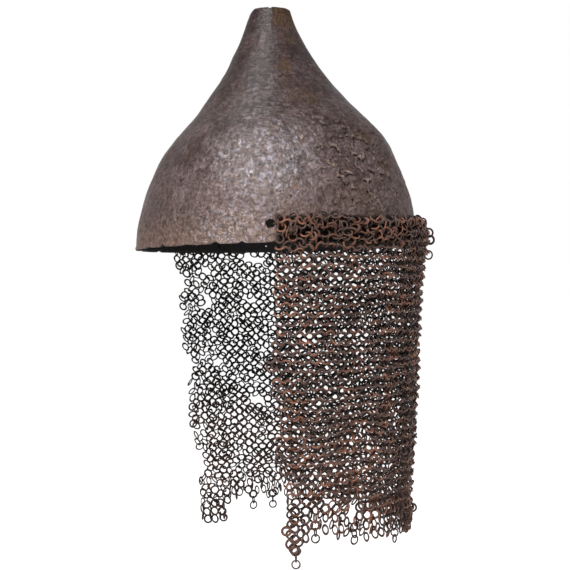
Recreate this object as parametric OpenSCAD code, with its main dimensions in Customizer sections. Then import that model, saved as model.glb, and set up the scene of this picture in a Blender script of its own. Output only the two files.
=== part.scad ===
// Conical iron helmet with a riveted mail curtain round its sides and back.
// The origin is the centre of the head opening, +Z runs up to the tip,
// the face looks along -Y and the wearer's left side is +X.
// Azimuths are counted from the back, +Y, and grow towards the wearer's left.

/* [Skull] */
// Outer radius of the rim edge
rim_r = 115; // [100:0.5:125]
// Height of the lip that flares out at the rim edge
lip_h = 3; // [2:0.5:6]
// How far the lip flares out
lip_out = 0.8; // [0.2:0.1:2]
// Outer radius where the round shoulder turns into the hollow sweep
shoulder_r = 82.5; // [76:0.5:88]
// Height of that turn above the rim
shoulder_z = 92.7; // [84:0.1:98]
// Outer radius of the tip
tip_r = 16.5; // [14.8:0.1:20]
// Height of the tip above the rim
skull_h = 193; // [175:0.5:215]
// Thickness of the forged sheet
wall = 1.8; // [1.2:0.1:3]

/* [Finial socket] */
// Radius of the bore in the tip that once held a finial
socket_r = 12.5; // [8:0.1:13.5]
// Length of that bore
socket_depth = 10; // [6:0.5:14]

/* [Lining holes] */
// Number of small holes round the rim
lining_hole_count = 32; // [16:1:40]
// Radius of a lining hole
lining_hole_r = 1.1; // [0.6:0.1:1.6]
// Height of the lining holes above the rim
lining_hole_z = 6; // [4.5:0.5:8]
// Radius of the single hole high on the left side
stray_hole_r = 1.2; // [0.6:0.1:2]
// Height of that hole
stray_hole_z = 31; // [26:0.5:60]
// Azimuth of that hole
stray_hole_azimuth = 81; // [60:1:100]

/* [Rings] */
// Radius of a ring, measured to the middle of its wire
ring_r = 3; // [2.8:0.05:3.4]
// Radius of the wire
wire_r = 0.5; // [0.35:0.05:0.55]
// Running gap between linked or neighbouring pieces
link_gap = 0.3; // [0.2:0.05:0.4]

/* [Mail attachment] */
// Number of rings that hold the mail to the skull
attach_count = 21; // [11:2:27]
// Height of their holes above the rim
attach_z = 14; // [11:0.5:18]
// Azimuth of the first and the last of them
attach_azimuth = 111.6; // [105:0.2:116]
// Radius of the hole that has worn wide at the left front
worn_hole_r = 3.5; // [1.4:0.1:4]

/* [Mail curtain] */
// Thickness of the mail as it hangs
mail_t = 2.4; // [2:0.1:2.6]
// Height of one ridge, which two rows of rings make on the outside
ridge_pitch = 7.1; // [6.5:0.1:9]
// Depth of the groove between two ridges
ridge_depth = 1.1; // [0.4:0.1:1.3]
// Azimuth of the front edges of the curtain
mail_azimuth = 112; // [100:0.5:118]
// Height of the top row above the rim
mail_top_z = 21; // [18:0.5:24]
// Level where the curtain starts to sway
upper_z = -8; // [-16:1:-4]
// Level where the second length of the curtain starts
middle_z = -58; // [-80:1:-40]
// Level where the lowest length and the front corners start
lower_z = -108; // [-130:1:-95]
// How much the curtain draws in for each millimetre down
taper = 0.072; // [0.03:0.002:0.09]
// Depth of the soft upright folds at the hem
fold_depth = 1.6; // [0.4:0.1:3]
// Number of half folds from the back to the front corner
fold_halves = 15; // [7:2:19]
// Azimuth of the line where a front corner swings
corner_azimuth = 85; // [75:0.5:90]
// Width of the slit along that line
slit = 1; // [0.9:0.1:1.5]
// Gap between two lengths of the curtain
seam_gap = 0.4; // [0.3:0.05:0.8]

/* [Hem] */
// Depth of the hem below the rim at the middle of the back
hem_back = 229; // [200:1:250]
// Depth of the hem at the wearer's left side
hem_left = 213; // [190:1:235]
// Depth of the hem at the wearer's right side
hem_right = 219; // [190:1:235]
// Depth of the torn tail at the left front corner
tail_left = 232; // [215:1:250]
// Depth of the torn tail at the right front corner
tail_right = 239; // [215:1:250]

/* [Hidden] */

// Handles of the two curves that draw the outline of the skull
shoulder_slope = 0.98;
shoulder_pull = 16;
foot_slope = 0.06;
foot_pull = 43.6;
sweep_pull = 35.9;
tip_slope = 0.22;
tip_pull = 37.7;
curve_steps = 14;
socket_lead = 7;

attach_hole_r = wire_r + link_gap + 0.2;
hem_hole_r = wire_r + 0.5;
hem_strip = 0.8;
column_step = 4.6;
corner_column_step = 2.4;
fold_run = 120;
hole_reach = 4 * wall;

// Azimuths of the rings that hang loose below the hem
left_tail_azimuth = 107;
left_front_azimuth = 98.5;
left_side_azimuth = 80;
left_back_azimuth = 53;
right_front_azimuth = -83;
right_side_azimuth = -73;

// How much higher the hem ends at the front edges than at the tails
right_tail_cut = 9;
left_tail_cut = 12;
// How much the hem rises towards the inner end of each tail
right_tail_rise = 1;
left_tail_rise = 3;

// The hem from the right front corner round the back to the left one
hem_line = [
    [-mail_azimuth, -tail_right + right_tail_cut], [-mail_azimuth + 3, -tail_right],
    [-mail_azimuth + 13, -tail_right + right_tail_rise], [-mail_azimuth + 16, -hem_right],
    [-75, -hem_right], [-45, -(2 * hem_right + hem_back) / 3],
    [-15, -hem_back], [22, -hem_back], [50, -(hem_left + 2 * hem_back) / 3],
    [75, -(2 * hem_left + hem_back) / 3], [mail_azimuth - 16, -hem_left],
    [mail_azimuth - 12, -hem_left], [mail_azimuth - 9, -tail_left + left_tail_rise],
    [mail_azimuth - 4, -tail_left], [mail_azimuth, -tail_left + left_tail_cut]
];

function unit(v) = v / norm(v);

function curve_point(p, t) =
    pow(1 - t, 3) * p[0] + 3 * pow(1 - t, 2) * t * p[1]
    + 3 * (1 - t) * t * t * p[2] + pow(t, 3) * p[3];

function curve_heading(p, t) = unit(
    pow(1 - t, 2) * (p[1] - p[0]) + 2 * (1 - t) * t * (p[2] - p[1])
    + t * t * (p[3] - p[2])
);

foot = [rim_r - lip_out, lip_h];
turn = [shoulder_r, shoulder_z];
tip = [tip_r, skull_h];
shoulder_curve = [
    foot, foot + foot_pull * unit([-foot_slope, 1]),
    turn - shoulder_pull * unit([-shoulder_slope, 1]), turn
];
sweep_curve = [
    turn, turn + sweep_pull * unit([-shoulder_slope, 1]),
    tip - tip_pull * unit([-tip_slope, 1]), tip
];

// Points of the outline at a depth under the outer surface
function outline(depth) = [
    for (part = [shoulder_curve, sweep_curve])
        for (i = [(part == sweep_curve ? 1 : 0) : curve_steps])
            let (h = curve_heading(part, i / curve_steps))
                curve_point(part, i / curve_steps) - depth * [h[1], -h[0]]
];

skull_table = [for (p = outline(0)) [p[1], p[0]]];

function skull_r(z) = lookup(z, skull_table);

attach_mid_r = skull_r(attach_z) - wall / 2;
mail_in_r = max(rim_r, attach_mid_r + ring_r + wire_r) + link_gap;
fold_rate = 90 * fold_halves / corner_azimuth;
attach_step = 2 * attach_azimuth / (attach_count - 1);

// Radius of the middle of the mail without its folds
function mail_r(z) = mail_in_r + mail_t / 2 + taper * min(0, z);

function fold(a, z) =
    fold_depth * min(1, max(0, -z / fold_run)) * sin(fold_rate * (abs(a) - corner_azimuth));

function hem(a) = lookup(a, hem_line);

// The lower seam dips with the tilted line that a front corner swings on
function lower_seam(a) =
    let (beyond = max(0, abs(a) - corner_azimuth))
        lower_z + taper * mail_r(lower_z) * (1 - cos(beyond));

function at(r, a, z) = [r * sin(a), r * cos(a), z];

// Heights of the seams over and under each of the four lengths of mail
function seams(a) = [mail_top_z + seam_gap / 2, upper_z, middle_z, lower_seam(a), hem(a) - seam_gap / 2];

function top_edge(level, a) = seams(a)[level] - seam_gap / 2;

function low_edge(level, a) = seams(a)[level + 1] + seam_gap / 2;

module turned(a) {
    rotate([0, 0, 90 - a])
        children();
}

module ring() {
    rotate_extrude($fn = 48)
        translate([ring_r, 0])
            circle(r = wire_r, $fn = 24);
}

// A curved panel of mail between two azimuths at one of the four levels.
// The outside is ridged by the rows of rings, but for its two upright edges.
module mail_panel(level, a_from, a_to, step = column_step) {
    columns = ceil((a_to - a_from) / step);
    ridges = round((top_edge(level, 0) - low_edge(level, 0)) / ridge_pitch);
    rows = 2 * ridges;
    across = rows + 1;
    inner = (columns + 1) * across;
    outside_points = [
        for (i = [0 : columns])
            for (j = [0 : rows])
                let (
                    a = a_from + (a_to - a_from) * i / columns,
                    z = top_edge(level, a) + (low_edge(level, a) - top_edge(level, a)) * j / rows,
                    groove = i > 0 && i < columns && j % 2 == 0 ? ridge_depth : 0
                )
                    at(mail_r(z) + fold(a, z) + mail_t / 2 - groove, a, z)
    ];
    inside_points = [
        for (i = [0 : columns])
            let (a = a_from + (a_to - a_from) * i / columns)
                for (z = [top_edge(level, a), low_edge(level, a)])
                    at(mail_r(z) + fold(a, z) - mail_t / 2, a, z)
    ];
    outside = [
        for (i = [0 : columns - 1])
            for (j = [0 : rows - 1])
                let (p = i * across + j)
                    each [[p, p + across, p + 1], [p + 1, p + across, p + across + 1]]
    ];
    inside = [
        for (i = [0 : columns - 1])
            let (q = inner + 2 * i)
                each [[q, q + 1, q + 2], [q + 1, q + 3, q + 2]]
    ];
    top_and_hem = [
        for (i = [0 : columns - 1])
            let (p = i * across, b = p + rows, q = inner + 2 * i)
                each [
                    [p, q, p + across], [p + across, q, q + 2],
                    [b, b + across, q + 1], [b + across, q + 3, q + 1]
                ]
    ];
    last = columns * across;
    last_inner = inner + 2 * columns;
    ends = [
        [ridges, inner + 1, inner],
        [last + ridges, last_inner, last_inner + 1],
        for (j = [0 : rows - 1])
            let (low = j < ridges ? 0 : 1)
                each [
                    [j, j + 1, inner + low],
                    [last + j, last_inner + low, last + j + 1]
                ]
    ];
    polyhedron(
        concat(outside_points, inside_points),
        concat(outside, inside, top_and_hem, ends),
        convexity = 6
    );
}

function slit_angle() = slit / 2 / mail_r(-hem_back) * 180 / PI;

function hem_hole_z(a) = hem(a) + hem_strip + hem_hole_r;

module hem_hole(a) {
    turned(a)
        translate([mail_r(hem_hole_z(a)), 0, hem_hole_z(a)])
            rotate([0, 90, 0])
                cylinder(h = 4 * mail_t, r = hem_hole_r, center = true, $fn = 24);
}

// A ring that stands square to the mail and goes through its last row
module hem_ring(a) {
    turned(a)
        translate([mail_r(hem(a)) + fold(a, hem(a)), 0, hem_hole_z(a) - ring_r])
            rotate([90, 0, 0])
                ring();
}

// A ring that hangs flat to the mail from a hem ring
module loose_ring(a) {
    hang = 3 * ring_r - 2 * wire_r - link_gap;
    turned(a)
        translate([mail_r(hem(a)) + fold(a, hem(a)), 0, hem_hole_z(a) - hang])
            rotate([0, 90, 0])
                ring();
}

module skull_shell() {
    inner = [for (p = outline(wall)) if (p[1] > lip_h && p[1] < skull_h - socket_depth - socket_lead) p];
    rotate_extrude($fn = 180)
        polygon(concat(
            [[rim_r, 0]],
            outline(0),
            [[socket_r, skull_h], [socket_r, skull_h - socket_depth]],
            [for (i = [len(inner) - 1 : -1 : 0]) inner[i]],
            [[rim_r - lip_out - wall, lip_h], [rim_r - lip_out - wall, 0]]
        ));
}

module drilled(a, z, r, shift = 0) {
    turned(a)
        translate([skull_r(z) - wall / 2, shift, z])
            rotate([0, 90, 0])
                cylinder(h = hole_reach, r = r, center = true, $fn = 32);
}

module skull() {
    color([0.36, 0.31, 0.29])
        difference() {
            skull_shell();
            for (i = [0 : lining_hole_count - 1])
                drilled((i + 0.5) * 360 / lining_hole_count, lining_hole_z, lining_hole_r);
            for (i = [0 : attach_count - 1])
                for (side = [-1, 1])
                    drilled(i * attach_step - attach_azimuth, attach_z, attach_hole_r, side * ring_r);
            drilled(attach_azimuth, attach_z, worn_hole_r, attach_hole_r - ring_r - worn_hole_r);
            drilled(stray_hole_azimuth, stray_hole_z, stray_hole_r);
        }
}

module attachment_rings() {
    sag = attach_hole_r - wire_r - link_gap;
    color([0.3, 0.22, 0.18])
        for (i = [0 : attach_count - 1])
            turned(i * attach_step - attach_azimuth)
                translate([attach_mid_r, 0, attach_z - sag])
                    ring();
}

module mail_top_band() {
    color([0.34, 0.26, 0.22])
        mail_panel(0, -mail_azimuth, mail_azimuth);
}

module mail_upper_curtain() {
    color([0.31, 0.24, 0.21])
        mail_panel(1, -mail_azimuth, mail_azimuth);
}

module mail_middle_curtain() {
    color([0.3, 0.23, 0.2])
        mail_panel(2, -mail_azimuth, mail_azimuth);
}

module mail_lower_curtain() {
    edge = corner_azimuth - slit_angle();
    color([0.28, 0.22, 0.19])
        difference() {
            mail_panel(3, -edge, edge);
            for (a = [left_side_azimuth, left_back_azimuth, right_front_azimuth, right_side_azimuth])
                hem_hole(a);
        }
}

module mail_left_corner() {
    color([0.36, 0.25, 0.2])
        difference() {
            mail_panel(3, corner_azimuth + slit_angle(), mail_azimuth, corner_column_step);
            hem_hole(left_tail_azimuth);
            hem_hole(left_front_azimuth);
        }
}

module mail_right_corner() {
    color([0.36, 0.25, 0.2])
        mail_panel(3, -mail_azimuth, -corner_azimuth - slit_angle());
}

module hem_rings_back() {
    color([0.33, 0.25, 0.21])
        for (a = [left_side_azimuth, left_back_azimuth, right_front_azimuth, right_side_azimuth])
            hem_ring(a);
}

module hem_rings_left() {
    color([0.33, 0.25, 0.21])
        for (a = [left_tail_azimuth, left_front_azimuth])
            hem_ring(a);
}

module loose_ring_left_tail() {
    color([0.42, 0.33, 0.28])
        loose_ring(left_tail_azimuth);
}

module loose_ring_left_front() {
    color([0.42, 0.33, 0.28])
        loose_ring(left_front_azimuth);
}

module loose_ring_left_side() {
    color([0.42, 0.33, 0.28])
        loose_ring(left_side_azimuth);
}

module loose_ring_left_back() {
    color([0.42, 0.33, 0.28])
        loose_ring(left_back_azimuth);
}

module loose_ring_right_front() {
    color([0.42, 0.33, 0.28])
        loose_ring(right_front_azimuth);
}

module loose_ring_right_side() {
    color([0.42, 0.33, 0.28])
        loose_ring(right_side_azimuth);
}

skull();
attachment_rings();
mail_top_band();
mail_upper_curtain();
mail_middle_curtain();
mail_lower_curtain();
mail_left_corner();
mail_right_corner();
hem_rings_back();
hem_rings_left();
loose_ring_left_tail();
loose_ring_left_front();
loose_ring_left_side();
loose_ring_left_back();
loose_ring_right_front();
loose_ring_right_side();
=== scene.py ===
import math
import random

import bmesh
import bpy
from mathutils import Matrix, Vector, noise


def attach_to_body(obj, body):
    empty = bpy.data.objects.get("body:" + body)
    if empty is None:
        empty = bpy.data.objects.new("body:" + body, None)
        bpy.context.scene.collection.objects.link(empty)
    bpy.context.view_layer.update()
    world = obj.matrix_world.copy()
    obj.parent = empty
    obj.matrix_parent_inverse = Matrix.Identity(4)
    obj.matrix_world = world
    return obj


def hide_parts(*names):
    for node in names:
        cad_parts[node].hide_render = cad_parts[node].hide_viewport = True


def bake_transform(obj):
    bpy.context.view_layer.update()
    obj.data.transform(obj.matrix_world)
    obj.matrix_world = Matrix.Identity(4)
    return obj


# A conical iron helmet with a riveted mail curtain. Lengths are written in
# millimetres here and turned into metres by MM. Azimuths are counted from the
# back, +Y, and grow towards the wearer's left, +X.

MM = 0.001
UP = Vector((0, 0, 1))

# Camera
CAMERA_PLACE = Vector((0.9735, -0.3933, -0.037))
CAMERA_LENS = 81.3
CAMERA_YAW = 0.31
CAMERA_PITCH = 0.356
CAMERA_ROLL = 1.25

# Skull
RIM_R = 115
LIP_H = 3
LIP_OUT = 0.8
SHOULDER = (82.5, 92.7)
TIP = (16.5, 193)
WALL = 1.8
SOCKET_R = 12.5
SOCKET_DEPTH = 10
SOCKET_LEAD = 7
FOOT_SLOPE = 0.06
FOOT_PULL = 43.6
SHOULDER_SLOPE = 0.98
SHOULDER_PULL = 16
SWEEP_PULL = 35.9
TIP_SLOPE = 0.22
TIP_PULL = 37.7
ROUND_STEPS = 400
SHOULDER_ROWS = 88
SWEEP_ROWS = 78
INSIDE_ROWS = 22

# Holes in the skull: height, radius
LINING_HOLES = 32
LINING_HOLE_Z = 6
LINING_HOLE_R = 1.1
ATTACH_COUNT = 21
ATTACH_AZIMUTH = 111.6
ATTACH_Z = 14
ATTACH_HOLE_R = 1.0
WORN_HOLE_R = 3.5
STRAY_HOLE = (81, 31, 1.2)

# Rings
RING_R = 3.0
WIRE_R = 0.5
LINK_GAP = 0.3
# The mail's own rings are of flattened wire: ring radius, half width of the wire
MAIL_RINGS = ((3.35, 0.66), (3.25, 0.8), (3.15, 0.94))
MAIL_WIRE_FLAT = 0.72

# Mail
MAIL_R = 117.27
MAIL_TAPER = 0.072
FOLD_DEPTH = 1.6
FOLD_RUN = 120
FOLD_RATE = 15.882
CORNER_AZIMUTH = 85
UPPER_Z = -8
MIDDLE_Z = -58
LOWER_Z = -108
CORNER_END_Z = -200
COLUMN_STEP = 224 / 55
TOP_ROW_Z = 17.5
ROW_GAP = 3.45
LOW_ROW_GAP = 3.7
LOW_ROWS_FROM = -186

# Depth of the hem by azimuth
HEM = (
    (-126, -30), (-121, -60), (-118, -150), (-113, -230), (-109, -239), (-99, -238),
    (-96, -219), (-75, -219), (-45, -222.3), (-15, -229), (22, -229), (50, -223.7),
    (75, -218.3), (96, -213), (100.5, -214), (102, -224), (104.6, -227), (105.4, -232),
    (109, -232), (110, -224), (112, -214),
)

# The low rows hang closed: on the left their rings lie edge-on to this azimuth
HEM_HEADING = 112
# The mail reaches this much further down on the left, but not at the hem rings
HEM_DROP = 4.5
HEM_RINGS = (107, 98.5, 80, 53, -83, -73)

# Azimuth of the two front edges by height
RIGHT_FRONT = (
    (-240, -112), (-200, -111.5), (-192, -107), (-178, -107), (-168, -111.5), (-150, -113.6),
    (-130, -114.6), (-112, -113.2), (-94, -112.4), (-76, -117.2), (-58, -113), (-42, -117),
    (-36, -113), (-24, -112), (-12, -116.5), (-4, -116.5), (2, -119), (20, -119),
)
LEFT_FRONT = (
    (-232, 110), (-212, 110.2), (-197, 108.4), (-183, 107.9), (-175, 109.8), (-167, 110.6),
    (-160, 113.3), (-145, 112.3), (-130, 111.4), (-115, 112), (-100, 113.8), (-86, 114.4),
    (-79, 113.6), (-71, 111.6), (-57, 110.8), (-42, 110.3), (-28, 111.2), (-13, 110),
    (20, 111),
)

# Places where rings are lost: azimuth, height, half width, half height
LOST_RINGS = (
    (-79, -5.5, 12, 3.4), (-101.7, -42, 4.6, 9), (-80.4, -43, 6, 3.4), (-101.8, -14, 4, 3.6),
    (-105, -25, 3.2, 4.5), (-89.6, -33, 5, 3), (-100, -75, 4, 4), (-75.5, -86, 4, 3.2),
    (-99.8, -98, 4, 4), (-79, -117, 4, 3), (-80, -133, 8.4, 3.6), (-92.5, -147, 3, 5),
    (-109, -156, 3.4, 4), (-98.3, -166, 4, 3), (82, -200, 4, 5), (94.6, -190.6, 3.4, 3.4),
    (101.3, -171, 4, 3), (90.5, -139, 3, 3), (60, -170, 4.4, 4.4), (77, -143, 4, 3),
    (72.4, -203.5, 3.4, 3.4),
)


def lookup(table, x):
    """Straight-line reading of a short table of (x, value)."""
    for (x0, v0), (x1, v1) in zip(table, table[1:]):
        if x <= x1:
            return v0 + (v1 - v0) * max(0.0, (x - x0) / (x1 - x0))
    return table[-1][1]


def smooth(low, high, x):
    t = min(1.0, max(0.0, (x - low) / (high - low)))
    return t * t * (3 - 2 * t)


def outward(azimuth):
    a = math.radians(azimuth)
    return Vector((math.sin(a), math.cos(a), 0))


def along(azimuth):
    a = math.radians(azimuth)
    return Vector((-math.cos(a), math.sin(a), 0))


def stand_at(azimuth, radius, height):
    """Frame on the mail: X runs along it, Y up and Z out of it."""
    turn = Matrix((along(azimuth), UP, outward(azimuth))).transposed().to_4x4()
    return Matrix.Translation(outward(azimuth) * radius + UP * height) @ turn


def mesh_object(name, bm, materials):
    """Ends a bmesh as a piece in metres, at the origin."""
    bmesh.ops.scale(bm, vec=(MM, MM, MM), verts=bm.verts)
    mesh = bpy.data.meshes.new(name)
    bm.to_mesh(mesh)
    bm.free()
    for material in materials:
        mesh.materials.append(material)
    piece = bpy.data.objects.new(name, mesh)
    bpy.context.scene.collection.objects.link(piece)
    return piece


# Setting the camera

def set_camera():
    data = bpy.data.cameras.new("camera")
    data.lens = CAMERA_LENS
    data.sensor_width = 36
    data.clip_start = 0.05
    data.clip_end = 60
    camera = bpy.data.objects.new("camera", data)
    bpy.context.scene.collection.objects.link(camera)
    forward = Vector((-CAMERA_PLACE.x, -CAMERA_PLACE.y, 0)).normalized()
    right = forward.cross(UP)
    yaw = math.radians(CAMERA_YAW)
    forward = forward * math.cos(yaw) + right * math.sin(yaw)
    right = forward.cross(UP)
    pitch = math.radians(CAMERA_PITCH)
    forward = forward * math.cos(pitch) + UP * math.sin(pitch)
    above = right.cross(forward)
    roll = math.radians(CAMERA_ROLL)
    across = right * math.cos(roll) - above * math.sin(roll)
    above = above * math.cos(roll) + right * math.sin(roll)
    turn = Matrix((across, above, -forward)).transposed().to_4x4()
    camera.matrix_world = Matrix.Translation(CAMERA_PLACE) @ turn
    bpy.context.scene.camera = camera


# Finishes

class Finish:
    """A node material with a few short ways to add and join nodes."""

    def __init__(self, name):
        self.material = bpy.data.materials.new(name)
        self.material.use_nodes = True
        self.tree = self.material.node_tree
        self.shader = self.tree.nodes["Principled BSDF"]
        self.place = self.add("ShaderNodeTexCoord").outputs["Object"]
        self.facing = self.add("ShaderNodeTexCoord").outputs["Normal"]

    def add(self, kind, **settings):
        node = self.tree.nodes.new(kind)
        for key, value in settings.items():
            setattr(node, key, value)
        return node

    def put(self, socket, value):
        if isinstance(value, bpy.types.NodeSocket):
            self.tree.links.new(value, socket)
        else:
            socket.default_value = value

    def stretched(self, scale, turn=(0, 0, 0)):
        node = self.add("ShaderNodeMapping")
        self.put(node.inputs["Vector"], self.place)
        node.inputs["Scale"].default_value = scale
        node.inputs["Rotation"].default_value = turn
        return node.outputs["Vector"]

    def lifted(self, rise):
        """The place a little above the one that is coloured."""
        node = self.add("ShaderNodeVectorMath", operation="ADD")
        self.put(node.inputs[0], self.place)
        node.inputs[1].default_value = (0, 0, rise)
        return node.outputs["Vector"]

    def mottle(self, scale, detail=4.0, rough=0.55, warp=0.0, vector=None):
        node = self.add("ShaderNodeTexNoise")
        self.put(node.inputs["Vector"], vector if vector else self.place)
        node.inputs["Scale"].default_value = scale
        node.inputs["Detail"].default_value = detail
        node.inputs["Roughness"].default_value = rough
        node.inputs["Distortion"].default_value = warp
        return node.outputs["Fac"]

    def cells(self, scale, feature="F1", vector=None):
        node = self.add("ShaderNodeTexVoronoi", feature=feature)
        self.put(node.inputs["Vector"], vector if vector else self.place)
        node.inputs["Scale"].default_value = scale
        return node.outputs["Distance"]

    def band(self, value, low, high, out_low=0.0, out_high=1.0):
        node = self.add("ShaderNodeMapRange", interpolation_type="SMOOTHSTEP")
        self.put(node.inputs["Value"], value)
        self.put(node.inputs["From Min"], low)
        node.inputs["From Max"].default_value = high
        node.inputs["To Min"].default_value = out_low
        node.inputs["To Max"].default_value = out_high
        return node.outputs["Result"]

    def height(self):
        node = self.add("ShaderNodeSeparateXYZ")
        self.put(node.inputs[0], self.place)
        return node.outputs["Z"]

    def own(self, name):
        """A value that the piece's own points carry."""
        return self.add("ShaderNodeAttribute", attribute_name=name).outputs["Fac"]

    def math(self, operation, a, b=0.0):
        node = self.add("ShaderNodeMath", operation=operation)
        self.put(node.inputs[0], a)
        self.put(node.inputs[1], b)
        return node.outputs["Value"]

    def mix(self, share, a, b, blend="MIX"):
        node = self.add("ShaderNodeMix", data_type="RGBA", blend_type=blend)
        self.put(node.inputs[0], share)
        self.put(node.inputs[6], a)
        self.put(node.inputs[7], b)
        return node.outputs[2]

    def spot(self, centre, reach):
        """1 near a point on the piece, 0 beyond reach."""
        node = self.add("ShaderNodeVectorMath", operation="DISTANCE")
        self.put(node.inputs[0], self.place)
        node.inputs[1].default_value = centre
        return self.band(node.outputs["Value"], reach, reach * 0.25)

    def bump(self, height, strength, distance, under=None):
        node = self.add("ShaderNodeBump")
        node.inputs["Strength"].default_value = strength
        node.inputs["Distance"].default_value = distance
        self.put(node.inputs["Height"], height)
        if under:
            self.put(node.inputs["Normal"], under)
        return node.outputs["Normal"]


def shade(red, green, blue):
    """A colour given as it looks on a screen, 0 to 255."""
    linear = []
    for part in (red, green, blue):
        c = part / 255
        linear.append(c / 12.92 if c <= 0.04045 else ((c + 0.055) / 1.055) ** 2.4)
    return (*linear, 1.0)


def on_skull(azimuth, height, radius):
    return outward(azimuth) * radius * MM + UP * height * MM


# Corroded places, with pits and scabs: azimuth, height, radius of the wall, reach, share
CORRODED = ((74, 62, 98, 66, 1), (-38, 56, 101, 58, 0.85), (-106, 84, 88, 46, 0.7))
# Scabs: scale of their pattern, where their edge and their top lie in it, and the
# length of the shadow under each
SCAB_SCALE = 132
SCAB_EDGE = 0.54
SCAB_TOP = 0.575
SCAB_SHADOW = 0.0017
# Brown rust on the skull: azimuth, height, radius of the wall, reach, share
BROWN_PATCHES = (
    (70, 184, 18, 16, 0.9), (78, 168, 25, 17, 0.55), (99.8, 142.8, 40, 12, 0.8),
    (103, 128, 50, 12, 0.4), (91, 111, 65, 17, 0.75), (106, 99, 76, 15, 0.4),
    (150, 118, 59, 22, 0.3), (72, 30, 110, 26, 0.35), (48, 60, 102, 34, 0.45), (62, 84, 90, 24, 0.5),
)
# Small orange specks: azimuth, height, radius of the wall, reach
SPECKS = ((131.8, 136, 45, 1.3), (104.6, 40.4, 108, 2.4))


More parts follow.
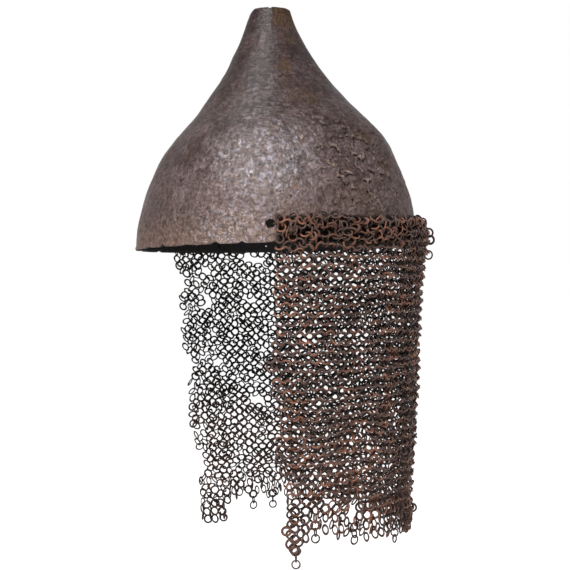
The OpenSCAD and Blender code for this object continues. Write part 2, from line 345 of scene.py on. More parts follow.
def forged_iron():
    f = Finish("forged_iron")
    height = f.height()
    sweep = f.band(height, 0.074, 0.1)
    neck = f.band(height, 0.1, 0.15)
    broad = f.mottle(22, 5, 0.6)
    clouds = f.mottle(60, 5, 0.6)
    grain = f.mottle(420, 4, 0.7)
    granules = f.mottle(240, 4, 0.62, 0.5)
    ripples = f.mottle(1, 4, 0.65, 0.5, f.stretched((150, 150, 440)))
    scale_patch = f.spot(on_skull(117, 66, 100), 0.056)
    low_band = f.math("MULTIPLY", f.band(height, 0.034, 0.016), f.spot(on_skull(124, 14, 112), 0.06))
    low_band = f.math("MULTIPLY", low_band, 0.6)
    shiny = f.math("MAXIMUM", scale_patch, low_band)
    heavy = 0.0
    for azimuth, place, radius, reach, share in CORRODED:
        spot = f.math("MULTIPLY", f.spot(on_skull(azimuth, place, radius), reach * MM), share)
        heavy = f.math("MAXIMUM", spot, heavy)
    heavy = f.math("MULTIPLY", heavy, f.band(clouds, 0.3, 0.46, 0.4, 1))

    ground = f.mix(f.band(clouds, 0.36, 0.66), shade(70, 56, 54), shade(94, 78, 79))
    bell = f.mix(f.band(clouds, 0.36, 0.66), shade(86, 71, 67), shade(120, 104, 103))
    colour = f.mix(neck, bell, ground)
    rust = f.band(f.math("ADD", f.math("MULTIPLY", broad, 0.6), f.math("MULTIPLY", clouds, 0.4)), 0.5, 0.64)
    colour = f.mix(f.math("MULTIPLY", rust, 0.6), colour, shade(88, 66, 56))
    # Painted light: the bell is painted lighter towards the rim, where more light falls on it.
    colour = f.mix(f.band(height, 0.075, 0.035, 0.0, 0.26), colour, shade(146, 126, 118))
    colour = f.mix(f.band(height, 0.03, 0.003, 0.0, 0.8), colour, shade(134, 110, 97))
    # Pale bluish flakes, most in the shiny places where the lamps reflect: partly pale scale, partly a
    # painted highlight.
    pale_flakes_and_highlight = f.band(f.mottle(190, 5, 0.7, 0.5), 0.5, 0.58)
    pale_flakes_and_highlight = f.math("MULTIPLY", pale_flakes_and_highlight, f.math("ADD", f.math("MULTIPLY", shiny, 0.5), 0.07))
    colour = f.mix(pale_flakes_and_highlight, colour, shade(180, 176, 188))
    # Painted shade in the valleys of the ripples on the sweep.
    valley_shade = f.math("MULTIPLY", f.band(ripples, 0.54, 0.42, 0, 0.5), sweep)
    colour = f.mix(valley_shade, colour, shade(44, 34, 34))

    scabs = f.mottle(SCAB_SCALE, 5, 0.66, 0.5)
    over = f.mottle(SCAB_SCALE, 5, 0.66, 0.5, f.lifted(SCAB_SHADOW))
    crust_and_lit_top = f.band(scabs, SCAB_EDGE, SCAB_TOP)
    bare_ground = f.math("SUBTRACT", 1.0, crust_and_lit_top)
    shadow = f.math("MULTIPLY", f.band(over, SCAB_EDGE, SCAB_TOP), bare_ground)
    shadow = f.math("MULTIPLY", shadow, heavy)
    # Painted light: the scabs are painted lighter, partly the paler crust itself and partly a painted
    # highlight on their tops.
    colour = f.mix(f.math("MULTIPLY", f.math("MULTIPLY", crust_and_lit_top, heavy), 0.75), colour, shade(170, 148, 138))
    colour = f.mix(f.math("MULTIPLY", shadow, 0.95), colour, shade(26, 18, 17))

    brown = 0.0
    for azimuth, place, radius, reach, share in BROWN_PATCHES:
        spot = f.math("MULTIPLY", f.spot(on_skull(azimuth, place, radius), reach * MM), share)
        brown = f.math("MAXIMUM", spot, brown)
    brown = f.math("MULTIPLY", brown, f.band(f.mottle(110, 5, 0.7), 0.4, 0.6))
    tip_side = f.math("MULTIPLY", f.band(height, 0.17, 0.182), f.own("tip_side"))
    brown = f.math("MAXIMUM", brown, f.math("MULTIPLY", tip_side, 0.8))
    colour = f.mix(brown, colour, shade(97, 77, 58))
    orange = 0.0
    for azimuth, place, radius, reach in SPECKS:
        orange = f.math("MAXIMUM", f.spot(on_skull(azimuth, place, radius), reach * MM), orange)
    colour = f.mix(f.math("MULTIPLY", orange, 0.8), colour, shade(176, 128, 92))
    specks = f.band(f.mottle(330, 2, 0.5), 0.67, 0.74)
    colour = f.mix(f.math("MULTIPLY", specks, 0.45), colour, shade(126, 92, 70))
    pits = f.band(f.cells(210), 0.26, 0.12)
    pitted_from = f.math("SUBTRACT", 0.54, f.math("MULTIPLY", heavy, 0.1))
    pits = f.math("MULTIPLY", pits, f.band(f.mottle(75, 3), pitted_from, 0.6))
    # The pits are painted near-black, painted shade inside them.
    colour = f.mix(f.math("MULTIPLY", pits, 0.8), colour, shade(22, 16, 15))
    colour = f.mix(f.band(grain, 0.38, 0.6, 0.0, 0.5), colour, shade(46, 36, 35))
    streak = f.math("MULTIPLY", f.own("streak"), f.band(height, 0.08, 0.1))
    # Painted shade between the granules: in the streak and the shiny places their low places are painted
    # dark, and over the whole skull a little darker.
    dark = f.math("MULTIPLY", f.math("MAXIMUM", f.math("MULTIPLY", shiny, 0.5), streak), 0.8)
    colour = f.mix(f.math("MULTIPLY", dark, f.band(granules, 0.56, 0.46)), colour, shade(44, 31, 33))
    colour = f.mix(f.band(granules, 0.45, 0.37, 0.0, 0.5), colour, shade(48, 36, 34))
    # Painted shade: the skull is painted near-black under the top of the mail, where the rings and the band
    # shade it.
    shade_under_mail = f.math("MULTIPLY", f.band(height, 0.021, 0.0175), f.own("shade_under_mail"))
    colour = f.mix(f.math("MULTIPLY", shade_under_mail, 0.92), colour, shade(12, 9, 8))
    f.put(f.shader.inputs["Base Color"], colour)

    bare = f.math("SUBTRACT", 1.0, f.math("MAXIMUM", f.math("MULTIPLY", shade_under_mail, 0.9), brown))
    f.put(f.shader.inputs["Metallic"], f.math("MULTIPLY", bare, 0.45))
    polish = f.math("MULTIPLY", f.math("MAXIMUM", shiny, streak), 0.15)
    gloss = f.math("SUBTRACT", f.band(clouds, 0.3, 0.7, 0.32, 0.42), polish)
    dull = f.math("MULTIPLY", f.math("MAXIMUM", brown, heavy), 0.2)
    f.put(f.shader.inputs["Roughness"], f.math("ADD", gloss, dull))
    f.put(f.shader.inputs["Specular IOR Level"], f.math("MULTIPLY", bare, 0.12))
    f.shader.inputs["Specular Tint"].default_value = shade(130, 120, 124)
    rubbed = f.math("MULTIPLY", f.math("MAXIMUM", shiny, streak), bare)
    f.put(f.shader.inputs["Coat Weight"], f.math("MULTIPLY", rubbed, 0.42))
    f.put(f.shader.inputs["Coat Roughness"], f.band(clouds, 0.3, 0.7, 0.14, 0.24))
    f.shader.inputs["Coat IOR"].default_value = 1.85
    f.shader.inputs["Coat Tint"].default_value = (1, 1, 1, 1)
    fine = f.math("ADD", granules, f.math("MULTIPLY", f.mottle(460, 2, 0.6, 0.3), 0.4))
    fine = f.math("MULTIPLY", fine, f.band(clouds, 0.4, 0.6, 0.65, 1))
    normal = f.bump(f.math("MULTIPLY", crust_and_lit_top, heavy), 1.0, 0.0022)
    normal = f.bump(fine, 1.0, 0.0017, normal)
    normal = f.bump(f.math("MULTIPLY", ripples, f.math("ADD", sweep, 0.15)), 1.0, 0.0013, normal)
    scratches = f.mottle(1, 3, 0.6, 0.2, f.stretched((560, 560, 70)))
    scratches = f.math("MULTIPLY", scratches, f.spot(on_skull(150, 50, 104), 0.06))
    normal = f.bump(scratches, 1.0, 0.0006, normal)
    normal = f.bump(grain, 1.0, 0.0003, normal)
    normal = f.bump(pits, 0.8, -0.0006, normal)
    f.put(f.shader.inputs["Normal"], normal)
    f.put(f.shader.inputs["Coat Normal"], normal)
    return f.material


def black_inside():
    f = Finish("black_inside")
    clouds = f.mottle(70, 5, 0.6)
    colour = f.mix(f.band(clouds, 0.35, 0.65), shade(14, 11, 10), shade(32, 24, 21))
    f.put(f.shader.inputs["Base Color"], colour)
    f.shader.inputs["Metallic"].default_value = 0.1
    f.shader.inputs["Roughness"].default_value = 0.8
    f.put(f.shader.inputs["Normal"], f.bump(f.mottle(300, 5, 0.7), 0.5, 0.0006))
    return f.material


def ring_iron(name, dark, mid, rust, rust_share):
    """Iron wire: rusty where it stands out of the curtain, black within; the brown there is also painted
    light and the black painted shade, and rings lower down are painted lighter.
    """
    f = Finish(name)
    clouds = f.mottle(38, 3, 0.6)
    drifts = f.mottle(16, 4, 0.6)
    grain = f.mottle(900, 3, 0.7)
    flat = f.add("ShaderNodeVectorMath", operation="MULTIPLY")
    f.put(flat.inputs[0], f.place)
    flat.inputs[1].default_value = (1, 1, 0)
    out = f.add("ShaderNodeVectorMath", operation="NORMALIZE")
    f.put(out.inputs[0], flat.outputs["Vector"])
    dot = f.add("ShaderNodeVectorMath", operation="DOT_PRODUCT")
    f.put(dot.inputs[0], out.outputs["Vector"])
    f.put(dot.inputs[1], f.facing)
    # The worn mask is painted light and shade: wire facing out of the curtain gets the lit rusty brown, the
    # rest the near-black painted shade, and rings from 0.1 m below the rim down are painted lighter, out of
    # the helmet's shade.
    worn = f.math("MULTIPLY", f.band(dot.outputs["Value"], -0.5, 0.3), f.band(f.own("front"), -1.5, 1.1))
    worn = f.math("MAXIMUM", worn, f.band(f.height(), -0.1, -0.2, 0.0, 0.55))
    brown = f.mix(f.band(f.own("tone"), 0.45, 0.95), mid, rust)
    brown = f.mix(f.band(clouds, 0.4, 0.62, 0.0, 1 - rust_share), brown, mid)
    brown = f.mix(f.band(drifts, 0.5, 0.62, 0.0, 0.5), brown, dark)
    colour = f.mix(worn, dark, brown)
    colour = f.mix(f.band(grain, 0.4, 0.7, 0.0, 0.45), colour, dark)
    f.put(f.shader.inputs["Base Color"], colour)
    f.shader.inputs["Metallic"].default_value = 0.0
    f.shader.inputs["Roughness"].default_value = 0.45
    f.shader.inputs["Specular IOR Level"].default_value = 0.2
    f.put(f.shader.inputs["Normal"], f.bump(grain, 0.5, 0.0002))
    return f.material


# The skull

def curve_point(points, t):
    s = 1 - t
    weights = (s * s * s, 3 * s * s * t, 3 * s * t * t, t * t * t)
    return Vector((
        sum(w * p[0] for w, p in zip(weights, points)),
        sum(w * p[1] for w, p in zip(weights, points)),
    ))


def curve_heading(points, t):
    s = 1 - t
    step = [Vector(b) - Vector(a) for a, b in zip(points, points[1:])]
    return (step[0] * s * s + step[1] * 2 * s * t + step[2] * t * t).normalized()


def skull_curves():
    foot = Vector((RIM_R - LIP_OUT, LIP_H))
    turn = Vector(SHOULDER)
    tip = Vector(TIP)
    up_foot = Vector((-FOOT_SLOPE, 1)).normalized()
    up_turn = Vector((-SHOULDER_SLOPE, 1)).normalized()
    up_tip = Vector((-TIP_SLOPE, 1)).normalized()
    shoulder = (foot, foot + up_foot * FOOT_PULL, turn - up_turn * SHOULDER_PULL, turn)
    sweep = (turn, turn + up_turn * SWEEP_PULL, tip - up_tip * TIP_PULL, tip)
    return shoulder, sweep


def skull_outline(depth, shoulder_rows, sweep_rows):
    line = []
    for curve, rows, first in zip(skull_curves(), (shoulder_rows, sweep_rows), (0, 1)):
        for i in range(first, rows + 1):
            heading = curve_heading(curve, i / rows)
            point = curve_point(curve, i / rows)
            line.append(Vector((point.x - depth * heading.y, point.y + depth * heading.x)))
    return line


def skull_radius(height):
    table = [(p.y, p.x) for p in skull_outline(0, 40, 40)]
    return lookup(table, height)


# Chips out of the rim edge: azimuth, half width, depth
RIM_CHIPS = (
    (161.3, 1.9, 2.4), (135.4, 2.6, 1.8), (124.9, 1.8, 1.7), (148, 5, 0.6), (112, 6, 0.7),
    (172, 4, 0.9), (-150, 4, 1.0), (-131, 3, 1.4), (-165, 6, 0.7),
)
# Big shallow dents: azimuth, height, reach, depth
DENTS = (
    (150, 40, 22, 1.3), (100, 52, 20, 0.9), (60, 80, 24, 1.2), (20, 60, 26, 1.4),
    (-40, 45, 24, 1.5), (-90, 60, 24, 1.2), (-140, 52, 20, 1.2), (130, 95, 14, 0.8),
    (75, 118, 12, 0.7), (170, 78, 16, 1.0),
)


# How far the face side of the skull is pushed in, by height
FACE_PUSH = (
    (0, 0), (30, 0.9), (48, 1.4), (58, 2.4), (68, 2.4), (78, 3.2), (85, 4.8), (91, 5.6),
    (104, 5.4), (114, 4.0), (127, 2.3), (140, 1.4), (155, 0), (200, 0),
)
FACE_PUSH_AZIMUTH = 202


def hammered(point, outside):
    """How far a point of the skull moves outwards."""
    push = 0.9 * noise.noise(point / 46) + 0.65 * noise.noise(point / 17 + UP * 9)
    for dent_azimuth, height, reach, depth in DENTS:
        place = outward(dent_azimuth) * skull_radii[height] + UP * height
        push -= depth * smooth(reach, reach * 0.2, (point - place).length)
    if not outside:
        return push
    push += 0.3 * noise.noise(point / 7 + UP * 31)
    heavy = 0.4 * smooth(40, 15, (point - outward(40) * 108 - UP * 40).length)
    for place, height, radius, reach, share in CORRODED:
        away = (point - outward(place) * radius - UP * height).length
        heavy = max(heavy, share * smooth(reach - 4, reach * 0.3, away))
    scab = noise.noise(point / 6.4 + UP * 57) + 0.45 * noise.noise(point / 3.1)
    push -= heavy * 1.5 * smooth(0.02, 0.2, scab)
    push += heavy * 0.7 * smooth(0.05, 0.16, noise.noise(point / 7.5 - UP * 23))
    light = smooth(55, 20, (point - outward(122) * 98 - UP * 66).length)
    push -= light * 0.9 * max(0.0, noise.noise(point / 4.2 + UP * 77) - 0.08)
    return push


skull_radii = {height: skull_radius(height) for _, height, _, _ in DENTS}


def weather_skull(bm):
    """Hammer marks, dents, rim chips, the torn tip edge and the lean of the neck."""
    for vert in bm.verts:
        x, y, z = vert.co
        azimuth = math.degrees(math.atan2(x, y))
        out = outward(azimuth)
        radius = math.hypot(x, y)
        outside = vert.index in outer_rows
        push = hammered(vert.co.copy(), outside)
        push *= smooth(0, 8, z) * 0.75 + 0.25
        push *= 1 - 0.6 * smooth(150, 190, z)
        rise = 0.0
        for chip_azimuth, half, depth in RIM_CHIPS:
            away = (out - outward(chip_azimuth)).length * radius
            if away < 3 * half and z < 8:
                rise += depth * math.exp(-((away / half) ** 2)) * (1 - z / 8)
        if z > 184:
            near_top = (z - 184) / (TIP[1] - 184)
            away = (out - outward(111)).length * radius
            rise -= 0.8 * max(0.0, 1 - away / 1.6) * near_top
            rise -= 3.0 * max(0.0, out.dot(outward(202)) - 0.74) / 0.26 * near_top
            rise -= 0.8 * max(0.0, out.dot(outward(20)) - 0.8) / 0.2 * near_top
            rise += 0.3 * noise.noise(out * 3.1) * near_top
        push -= lookup(FACE_PUSH, z) * max(0.0, out.dot(outward(FACE_PUSH_AZIMUTH))) ** 0.8
        vert.co += out * push + UP * rise
        vert.co.y -= 2.0 * smooth(110, 195, z)
        bulge = smooth(60, 92, z) * (1 - smooth(98, 135, z))
        vert.co += outward(22) * 2.6 * bulge * max(0.0, out.dot(outward(22)))


outer_rows = set()


def skull_holes():
    """Pins that stand where the holes are."""
    pins = bmesh.new()

    def pin(azimuth, height, radius, sideways=0.0, sides=14, ragged=0.0):
        made = bmesh.ops.create_cone(
            pins, cap_ends=True, segments=sides, radius1=radius, radius2=radius, depth=12
        )["verts"]
        for vert in made:
            grow = 1 + ragged * noise.noise(Vector((vert.co.x, vert.co.y, 3)) * 0.9)
            vert.co.x *= grow
            vert.co.y *= grow
        frame_here = stand_at(azimuth, skull_radius(height) - WALL / 2, height)
        bmesh.ops.transform(
            pins, matrix=frame_here @ Matrix.Translation((sideways, 0, 0)), verts=made
        )

    for i in range(LINING_HOLES):
        azimuth = (i + 0.5) * 360 / LINING_HOLES
        rusted_shut = 112 < azimuth < 200
        radius = 0.35 if rusted_shut else LINING_HOLE_R * (0.68 + 0.08 * (i % 4))
        pin(azimuth, LINING_HOLE_Z, radius)
    step = 2 * ATTACH_AZIMUTH / (ATTACH_COUNT - 1)
    for i in range(ATTACH_COUNT):
        for side in (-1, 1):
            if i < ATTACH_COUNT - 1 or side > 0:
                pin(i * step - ATTACH_AZIMUTH, ATTACH_Z, ATTACH_HOLE_R, side * RING_R)
    worn_shift = ATTACH_HOLE_R - RING_R - WORN_HOLE_R
    pin(ATTACH_AZIMUTH, ATTACH_Z, WORN_HOLE_R, worn_shift, 28, 0.3)
    pin(*STRAY_HOLE)
    bmesh.ops.recalc_face_normals(pins, faces=pins.faces)
    return mesh_object("hole_pins", pins, [])


def make_skull(iron, inside):
    outer = [(RIM_R - 0.3, 0), (RIM_R, 0.35), (RIM_R - 0.1, 1.2), (RIM_R - 0.4, 2.1)]
    outer += [tuple(p) for p in skull_outline(0, SHOULDER_ROWS, SWEEP_ROWS)]
    lip = [(TIP[0] - 0.8, TIP[1] + 0.2), (SOCKET_R + 0.5, TIP[1] + 0.1), (SOCKET_R, TIP[1] - 0.5)]
    inner_line = [
        tuple(p) for p in skull_outline(WALL, INSIDE_ROWS, INSIDE_ROWS)
        if LIP_H < p.y < TIP[1] - SOCKET_DEPTH - SOCKET_LEAD
    ]
    inner = [(SOCKET_R, TIP[1] - SOCKET_DEPTH)] + inner_line[::-1]
    inside_r = RIM_R - LIP_OUT - WALL
    inner += [(inside_r, LIP_H), (inside_r, 0.4), (inside_r + 0.4, 0)]
    line = outer + lip + inner
    bm = bmesh.new()
    verts = [bm.verts.new((r, 0, z)) for r, z in line]
    edges = [bm.edges.new(pair) for pair in zip(verts, verts[1:] + verts[:1])]
    bmesh.ops.spin(
        bm, geom=verts + edges, cent=(0, 0, 0), axis=(0, 0, 1), angle=2 * math.pi,
        steps=ROUND_STEPS, use_merge=True,
    )
    bmesh.ops.remove_doubles(bm, verts=bm.verts, dist=0.001)
    bmesh.ops.recalc_face_normals(bm, faces=bm.faces)
    bm.verts.index_update()
    heights = [(p[1], p[0]) for p in outer]
    for vert in bm.verts:
        radius = math.hypot(vert.co.x, vert.co.y)
        if radius > lookup(heights, vert.co.z) - WALL * 0.5 or vert.co.z > TIP[1] - 1:
            outer_rows.add(vert.index)
    for face in bm.faces:
        face.material_index = 0 if all(v.index in outer_rows for v in face.verts) else 1
        face.smooth = True
    weather_skull(bm)
    skull = mesh_object("skull_shell", bm, [iron, inside])
    pins = skull_holes()
    cut = skull.modifiers.new("holes", "BOOLEAN")
    cut.operation = "DIFFERENCE"
    cut.object = pins
    cut.solver = "EXACT"
    bpy.context.view_layer.update()
    depsgraph = bpy.context.evaluated_depsgraph_get()
    drilled = bpy.data.meshes.new_from_object(skull.evaluated_get(depsgraph))
    skull.modifiers.clear()
    skull.data = drilled
    bpy.data.objects.remove(pins)
    # The first of these marks where the skull is painted near-black, painted shade under the mail.
    shade_under_mail = drilled.attributes.new("shade_under_mail", "FLOAT", "POINT")
    tip_side = drilled.attributes.new("tip_side", "FLOAT", "POINT")
    streak = drilled.attributes.new("streak", "FLOAT", "POINT")
    for vert in drilled.vertices:
        azimuth = math.degrees(math.atan2(vert.co.x, vert.co.y))
        shade_under_mail.data[vert.index].value = smooth(113, 111, azimuth) * smooth(-122, -117, azimuth)
        tip_side.data[vert.index].value = smooth(116, 108, azimuth) * smooth(-20, 20, azimuth)
        streak.data[vert.index].value = smooth(98, 122, azimuth) * smooth(156, 128, azimuth)
    drilled.shade_smooth()
    drilled.set_sharp_from_angle(angle=math.radians(48))
    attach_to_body(skull, "helmet")
    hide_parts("skull")
    return skull


# The mail and its rings

def ring_pattern(name, steps, sides, radius, wire, flat, long_way, short_way, lap):
    """A ring of wire flat in XY, with the thicker lap where its ends are riveted."""
    ring = bmesh.new()
    bmesh.ops.create_circle(ring, segments=sides, radius=wire)
    bmesh.ops.rotate(ring, cent=(0, 0, 0), matrix=Matrix.Rotation(math.pi / 2, 3, "X"), verts=ring.verts)
    bmesh.ops.scale(ring, vec=(1, 1, flat), verts=ring.verts)
    bmesh.ops.translate(ring, vec=(radius, 0, 0), verts=ring.verts)
    bmesh.ops.spin(
        ring, geom=ring.verts[:] + ring.edges[:], cent=(0, 0, 0), axis=(0, 0, 1),
        angle=2 * math.pi, steps=steps, use_merge=True,
    )
    bmesh.ops.remove_doubles(ring, verts=ring.verts, dist=0.01)
    bmesh.ops.recalc_face_normals(ring, faces=ring.faces)
    for vert in ring.verts:
        angle = math.atan2(vert.co.y, vert.co.x)
        middle = Vector((math.cos(angle), math.sin(angle), 0)) * radius
        thick = 1 + lap * math.exp(-((angle / 0.34) ** 2))
        vert.co = middle + (vert.co - middle) * thick
        vert.co.x *= long_way
        vert.co.y *= short_way
    for face in ring.faces:
        face.smooth = True
    mesh = bpy.data.meshes.new(name)
    ring.to_mesh(mesh)
    ring.free()
    return mesh


def ring_piece(name, places, materials, chance):
    """One piece out of many rings, each set at its own place."""
    bm = bmesh.new()
    for place, pattern in places:
        ring = pattern.copy()
        ring.transform(place)
        bm.from_mesh(ring)
        bpy.data.meshes.remove(ring)
    front = bm.verts.layers.float.new("front")
    tone = bm.verts.layers.float.new("tone")
    bm.verts.ensure_lookup_table()
    first = 0
    for place, pattern in places:
        count = len(pattern.vertices)
        middle = place.translation
        out = Vector((middle.x, middle.y, 0)).normalized()
        own_tone = chance.random()
        for vert in bm.verts[first:first + count]:
            vert[front] = (vert.co - middle).dot(out)
            vert[tone] = own_tone
        first += count
    return mesh_object(name, bm, materials)


def mail_radius(height):
    return MAIL_R + MAIL_TAPER * min(0, height)


def fold(azimuth, height):
    swell = FOLD_DEPTH * min(1, max(0, -height / FOLD_RUN))
    return swell * math.sin(math.radians(FOLD_RATE * (abs(azimuth) - CORNER_AZIMUTH)))


def lost(azimuth, height):
    for gap_azimuth, gap_height, half_width, half_height in LOST_RINGS:
        across = math.radians(azimuth - gap_azimuth) * mail_radius(height) / half_width
        if across * across + ((height - gap_height) / half_height) ** 2 < 1:
            return True
    return False


def weave(chance):
    """Azimuth, height and place of every ring of the curtain."""
    rings = []
    height = TOP_ROW_Z
    row = 0
    while height > -242:
        half = 0.5 * (row % 2)
        side = 1 if row % 2 else -1
        for column in range(-32, 30):
            azimuth = (column + half) * COLUMN_STEP + COLUMN_STEP / 4
            drift = outward(azimuth) * 110 + UP * height
            hem = lookup(HEM, azimuth) + 1.5 * noise.noise(drift / 9)
            if 15 < azimuth < 101 and min(abs(azimuth - a) for a in HEM_RINGS) > 3.4:
                hem -= HEM_DROP
            left = lookup(LEFT_FRONT, height)
            right = lookup(RIGHT_FRONT, height)
            shake = [chance.uniform(-1, 1) for _ in range(8)]
            if not right < azimuth < left + 1 or height - RING_R - WIRE_R < hem or lost(azimuth, height):
                continue
            low = smooth(hem + 30, hem + 12, height)
            top = smooth(-14, 2, height)
            loose = smooth(-45, -70, azimuth)
            lean = side * (38 - 28 * low - 10 * loose) + (15 + 12 * top + 4 * loose) * shake[0]
            swing = side * 58 * low
            if azimuth > 0:
                swing = (azimuth - HEM_HEADING + side * 62) * low * smooth(108, 100, azimuth)
            swing += (17 - 4 * low + 12 * top + 10 * loose) * shake[1]
            up = 3.0 * noise.noise(drift / 34) + 2.2 * (0.6 + top) * noise.noise(drift / 13 + UP * 5)
            up += (0.75 + 0.4 * top + 0.2 * loose) * shake[2]
            across = 2.6 * noise.noise(drift / 41 + UP * 17) + 1.6 * noise.noise(drift / 15 - UP * 8)
            across += (0.8 + 0.4 * top + 0.3 * loose) * shake[3]
            out = 1.8 * noise.noise(drift / 37 - UP * 29) + 1.0 * noise.noise(drift / 14)
            out += (0.4 + 0.3 * top) * shake[4]
            if height > -6:
                out = abs(out) * 0.8 + 0.2
                out += 3.2 * smooth(30, 0, abs(azimuth - 22)) * smooth(19, 8, height)
            grow = 1 + 0.04 * shake[5]
            radius = mail_radius(height) + fold(azimuth, height) + out
            turned = azimuth + math.degrees(across / radius)
            place = (
                stand_at(turned, radius, height + up)
                @ Matrix.Rotation(math.radians(lean), 4, "X")
                @ Matrix.Rotation(math.radians(swing), 4, "Y")
                @ Matrix.Rotation(math.pi * shake[6], 4, "Z")
                @ Matrix.Scale(grow, 4)
            )
            rings.append((azimuth, height, place))
        height -= ROW_GAP if height > LOW_ROWS_FROM else LOW_ROW_GAP
        row += 1
    return rings


def hanger_places():
    """The upright ring that each attachment ring holds."""
    places = []
    step = 2 * ATTACH_AZIMUTH / (ATTACH_COUNT - 1)
    for i in range(ATTACH_COUNT):
        azimuth = i * step - ATTACH_AZIMUTH
        places.append(
            stand_at(azimuth, skull_radius(ATTACH_Z) + 3.85, ATTACH_Z - 0.8)
            @ Matrix.Rotation(math.radians(84 + 5 * (i % 3)), 4, "Y")
        )
    return places


# Rings that stick out of the curtain: azimuth, height, how far out, swing
STICKING_OUT = (
    (23, 9.5, 6.6, 88), (25, 3.5, 7.2, 75), (22, -8.5, 6.6, 95), (52, 16, 1.2, 40),
    (-60, 15, 2.5, 60), (-20, 12, 3.5, 80),
)
STICKING_OUT_LOW = ((22, -214, 3.6, 90), (-65.5, -223, 0, 82))
STICKING_OUT_RIGHT = ((-111.6, -199, 0, 25),)
# How many spare rings lie bunched along the top of the band
BUNCHED_RINGS = 150


def bunched_places(chance):
    places = []
    for _ in range(BUNCHED_RINGS):
        azimuth = chance.uniform(-116, 109)
        height = chance.uniform(3, 18.5)
        places.append(
            stand_at(azimuth, mail_radius(0) + chance.uniform(0.8, 2.6), height)
            @ Matrix.Rotation(math.radians(chance.uniform(-60, 60)), 4, "X")
            @ Matrix.Rotation(math.radians(chance.uniform(-75, 75)), 4, "Y")
        )
    return places


def sticking_out(table):
    return [
        stand_at(azimuth, mail_radius(height) + out, height)
        @ Matrix.Rotation(math.radians(swing), 4, "Y")
        for azimuth, height, out, swing in table
    ]


def make_mail(finish):
    chance = random.Random(41)
    patterns = []
    for number, (radius, wire) in enumerate(MAIL_RINGS):
        for word, long_way, short_way, lap in (
            ("round", 1.0, 1.0, 0.35), ("oval", 1.07, 0.95, 0.3),
            ("worn", 0.96, 1.04, 0.45), ("plain", 1.02, 1.0, 0.12),
        ):
            patterns.append(ring_pattern(
                f"ring_{word}_{number}", 14, 4, radius, wire, MAIL_WIRE_FLAT, long_way, short_way, lap
            ))
    lots = {name: [] for name in ("band", "upper", "middle", "lower", "left", "right")}
    for azimuth, height, place in weave(chance):
        thick = 2 - round(0.9 * smooth(-30, -75, azimuth) + 0.7 * chance.random())
        place = (place, patterns[4 * max(0, thick) + chance.randrange(4)])
        if height > UPPER_Z:
            lots["band"].append(place)
        elif height > MIDDLE_Z:
            lots["upper"].append(place)
        elif height > LOWER_Z:
            lots["middle"].append(place)
        elif azimuth > CORNER_AZIMUTH:
            lots["left"].append(place)
        elif azimuth < -CORNER_AZIMUTH:
            lots["right"].append(place)
        else:
            lots["lower"].append(place)
    spare = hanger_places() + sticking_out(STICKING_OUT) + bunched_places(chance)
    lots["band"] += [(place, patterns[chance.randrange(12)]) for place in spare]
    lots["lower"] += [(place, patterns[4]) for place in sticking_out(STICKING_OUT_LOW)]
    lots["right"] += [(place, patterns[4]) for place in sticking_out(STICKING_OUT_RIGHT)]
    for azimuth in HEM_RINGS:
        hole = hem_height(azimuth)
        radius = mail_radius(hole - 1.8) + fold(azimuth, hole - 1.8)
        lean = Matrix.Rotation(math.radians(0.1 * azimuth), 4, "X")
        holder = stand_at(azimuth, radius, hole + 2.0) @ lean
        lots["left" if azimuth > CORNER_AZIMUTH else "lower"].append((holder, patterns[8]))
    names = {
        "band": "mail_band_rings", "upper": "mail_upper_rings", "middle": "mail_middle_rings",
        "lower": "mail_lower_rings", "left": "mail_left_corner_rings",
        "right": "mail_right_corner_rings",
    }
    nodes = {
        "band": "mail_top_band", "upper": "mail_upper_curtain", "middle": "mail_middle_curtain",
        "lower": "mail_lower_curtain", "left": "mail_left_corner", "right": "mail_right_corner",
    }
    bends = {
        "upper": ("helmet", "upper_curtain", UPPER_Z, MIDDLE_Z),
        "middle": ("upper_curtain", "lower_curtain", MIDDLE_Z, LOWER_Z),
        "left": ("lower_curtain", "left_corner", LOWER_Z, CORNER_END_Z),
        "right": ("lower_curtain", "right_corner", LOWER_Z, CORNER_END_Z),
    }
    rides = {"band": "helmet", "lower": "lower_curtain"}
    for key, places in lots.items():
        piece = ring_piece(names[key], places, [finish], chance)
        if key in bends:
            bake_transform(piece)
        else:
            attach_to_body(piece, rides[key])
        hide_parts(nodes[key])
    for pattern in patterns:
        bpy.data.meshes.remove(pattern)


def hem_height(azimuth):
    """Height of the hem ring's hole, as in the solids."""
    table = (
        (-112, -230), (-109, -239), (-99, -238), (-96, -219), (-75, -219), (-45, -222.333),
        (-15, -229), (22, -229), (50, -223.667), (75, -218.333), (96, -213), (100, -213),
        (103, -229), (108, -232), (112, -220),
    )
    return lookup(table, azimuth) + 1.8


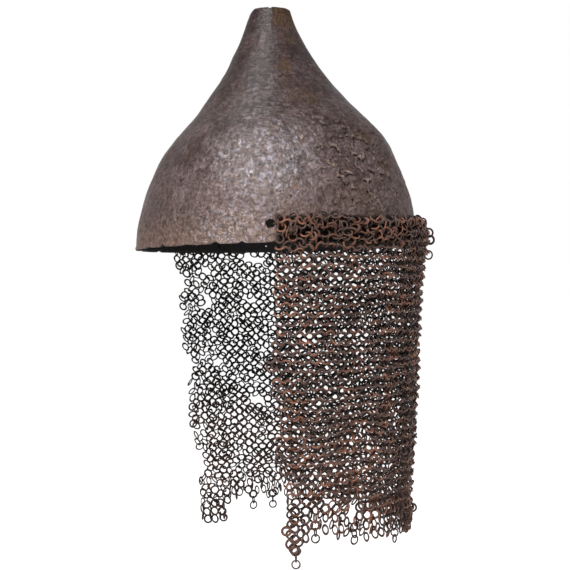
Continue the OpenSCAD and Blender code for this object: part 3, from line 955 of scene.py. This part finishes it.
def make_single_rings(finish):
    """Attachment rings, hem rings and the rings that hang loose."""
    chance = random.Random(7)
    fine = ring_pattern("ring_fine", 32, 10, RING_R, 0.6, 0.9, 1.0, 1.0, 0.35)
    oval = ring_pattern("ring_fine_oval", 32, 10, RING_R, 0.6, 0.9, 1.08, 0.97, 0.3)
    step = 2 * ATTACH_AZIMUTH / (ATTACH_COUNT - 1)
    sag = ATTACH_HOLE_R - WIRE_R - LINK_GAP
    attach = [
        stand_at(i * step - ATTACH_AZIMUTH, skull_radius(ATTACH_Z) - WALL / 2, ATTACH_Z - sag)
        @ Matrix.Rotation(math.pi / 2, 4, "X")
        @ Matrix.Rotation(math.radians(-90 + 25 * math.sin(i * 2.3)), 4, "Z")
        for i in range(ATTACH_COUNT)
    ]

    def hem_ring(azimuth):
        hole = hem_height(azimuth)
        radius = mail_radius(hole - 1.8) + fold(azimuth, hole - 1.8)
        return (
            stand_at(azimuth, radius, hole - RING_R)
            @ Matrix.Rotation(math.pi / 2, 4, "Y")
            @ Matrix.Rotation(math.radians(50 + azimuth), 4, "Z")
        )

    def loose_ring(azimuth):
        hole = hem_height(azimuth)
        radius = mail_radius(hole - 1.8) + fold(azimuth, hole - 1.8)
        hang = 3 * RING_R - 2 * WIRE_R - LINK_GAP
        return stand_at(azimuth, radius, hole - hang) @ Matrix.Rotation(math.radians(azimuth * 3), 4, "Z")

    lots = (
        ("attachment_ring_set", "attachment_rings", "helmet", attach, fine),
        ("hem_ring_set_back", "hem_rings_back", "lower_curtain",
         [hem_ring(a) for a in (80, 53, -83, -73)], fine),
        ("hem_ring_set_left", "hem_rings_left", "left_corner", [hem_ring(a) for a in (107, 98.5)], fine),
        ("left_tail_end_ring", "loose_ring_left_tail", "left_tail_ring", [loose_ring(107)], fine),
        ("left_front_end_ring", "loose_ring_left_front", "left_front_ring", [loose_ring(98.5)], fine),
        ("left_side_end_ring", "loose_ring_left_side", "left_side_ring", [loose_ring(80)], oval),
        ("left_back_end_ring", "loose_ring_left_back", "left_back_ring", [loose_ring(53)], fine),
        ("right_front_end_ring", "loose_ring_right_front", "right_front_ring", [loose_ring(-83)], oval),
        ("right_side_end_ring", "loose_ring_right_side", "right_side_ring", [loose_ring(-73)], fine),
    )
    for name, node, body, places, pattern in lots:
        piece = ring_piece(name, [(place, pattern) for place in places], [finish], chance)
        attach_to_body(piece, body)
        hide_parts(node)
    bpy.data.meshes.remove(fine)
    bpy.data.meshes.remove(oval)


# Floor, background and lights

FLOOR_Z = -0.36


def seen_directly(tree):
    """1 for rays that show the background: from the camera, gloss or glass."""
    path = tree.nodes.new("ShaderNodeLightPath")
    first = tree.nodes.new("ShaderNodeMath")
    first.operation = "ADD"
    second = tree.nodes.new("ShaderNodeMath")
    second.operation = "ADD"
    second.use_clamp = True
    tree.links.new(path.outputs["Is Camera Ray"], first.inputs[0])
    tree.links.new(path.outputs["Is Glossy Ray"], first.inputs[1])
    tree.links.new(first.outputs[0], second.inputs[0])
    tree.links.new(path.outputs["Is Transmission Ray"], second.inputs[1])
    return second.outputs[0]


def make_floor():
    bm = bmesh.new()
    bmesh.ops.create_grid(bm, x_segments=2, y_segments=2, size=30000)
    bmesh.ops.translate(bm, vec=(0, 0, FLOOR_Z / MM), verts=bm.verts)
    material = bpy.data.materials.new("pale_floor")
    material.use_nodes = True
    tree = material.node_tree
    tree.nodes.clear()
    matt = tree.nodes.new("ShaderNodeBsdfDiffuse")
    matt.inputs["Color"].default_value = (0.8, 0.8, 0.8, 1)
    glow = tree.nodes.new("ShaderNodeEmission")
    glow.inputs["Color"].default_value = (1, 1, 1, 1)
    glow.inputs["Strength"].default_value = 0.86
    both = tree.nodes.new("ShaderNodeAddShader")
    choose = tree.nodes.new("ShaderNodeMixShader")
    end = tree.nodes.new("ShaderNodeOutputMaterial")
    tree.links.new(matt.outputs[0], both.inputs[0])
    tree.links.new(glow.outputs[0], both.inputs[1])
    tree.links.new(seen_directly(tree), choose.inputs[0])
    tree.links.new(matt.outputs[0], choose.inputs[1])
    tree.links.new(both.outputs[0], choose.inputs[2])
    tree.links.new(choose.outputs[0], end.inputs["Surface"])
    floor = mesh_object("floor", bm, [material])


def make_world():
    world = bpy.data.worlds.new("studio")
    bpy.context.scene.world = world
    world.use_nodes = True
    tree = world.node_tree
    tree.nodes.clear()
    soft = tree.nodes.new("ShaderNodeBackground")
    soft.inputs["Color"].default_value = (1, 1, 1, 1)
    soft.inputs["Strength"].default_value = 0.2
    white = tree.nodes.new("ShaderNodeBackground")
    white.inputs["Color"].default_value = (1, 1, 1, 1)
    white.inputs["Strength"].default_value = 1.0
    choose = tree.nodes.new("ShaderNodeMixShader")
    end = tree.nodes.new("ShaderNodeOutputWorld")
    tree.links.new(seen_directly(tree), choose.inputs[0])
    tree.links.new(soft.outputs[0], choose.inputs[1])
    tree.links.new(white.outputs[0], choose.inputs[2])
    tree.links.new(choose.outputs[0], end.inputs["Surface"])


def soft_box(name, towards, distance, width, height, power):
    data = bpy.data.lights.new(name, "AREA")
    data.shape = "RECTANGLE"
    data.size = width
    data.size_y = height
    data.energy = power
    lamp = bpy.data.objects.new(name, data)
    bpy.context.scene.collection.objects.link(lamp)
    direction = towards.normalized()
    lamp.location = direction * distance
    lamp.rotation_mode = "QUATERNION"
    lamp.rotation_quaternion = direction.to_track_quat("Z", "Y")


def make_lights():
    to_camera = Vector((0.9272, -0.3746, 0))
    to_right = Vector((0.3746, 0.9272, 0))
    soft_box("key_light", to_camera - to_right * 0.45 + UP * 0.62, 1.8, 0.34, 0.46, 17)
    soft_box("high_key_light", to_camera - to_right * 0.62 + UP * 1.75, 1.8, 0.26, 0.46, 13)
    soft_box("side_light", to_camera * 0.45 + to_right + UP * 0.35, 1.9, 0.9, 1.3, 5)
    soft_box("top_light", UP + to_camera * 0.1, 1.6, 1.2, 1.2, 3)


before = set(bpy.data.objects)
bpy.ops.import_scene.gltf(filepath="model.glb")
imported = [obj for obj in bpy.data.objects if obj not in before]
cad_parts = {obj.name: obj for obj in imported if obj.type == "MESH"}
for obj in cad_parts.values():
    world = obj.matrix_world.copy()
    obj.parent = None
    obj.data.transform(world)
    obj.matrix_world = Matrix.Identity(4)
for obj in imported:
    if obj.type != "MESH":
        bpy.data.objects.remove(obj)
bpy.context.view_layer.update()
set_camera()
iron = forged_iron()
inside = black_inside()
mail_finish = ring_iron("mail_iron", shade(5, 3, 3), shade(105, 81, 73), shade(160, 108, 85), 0.72)
ring_finish = ring_iron("ring_iron", shade(16, 11, 10), shade(92, 74, 68), shade(118, 88, 74), 0.5)
make_skull(iron, inside)
make_mail(mail_finish)
make_single_rings(ring_finish)
make_floor()
make_world()
make_lights()
bpy.context.scene.view_settings.view_transform = "Standard"
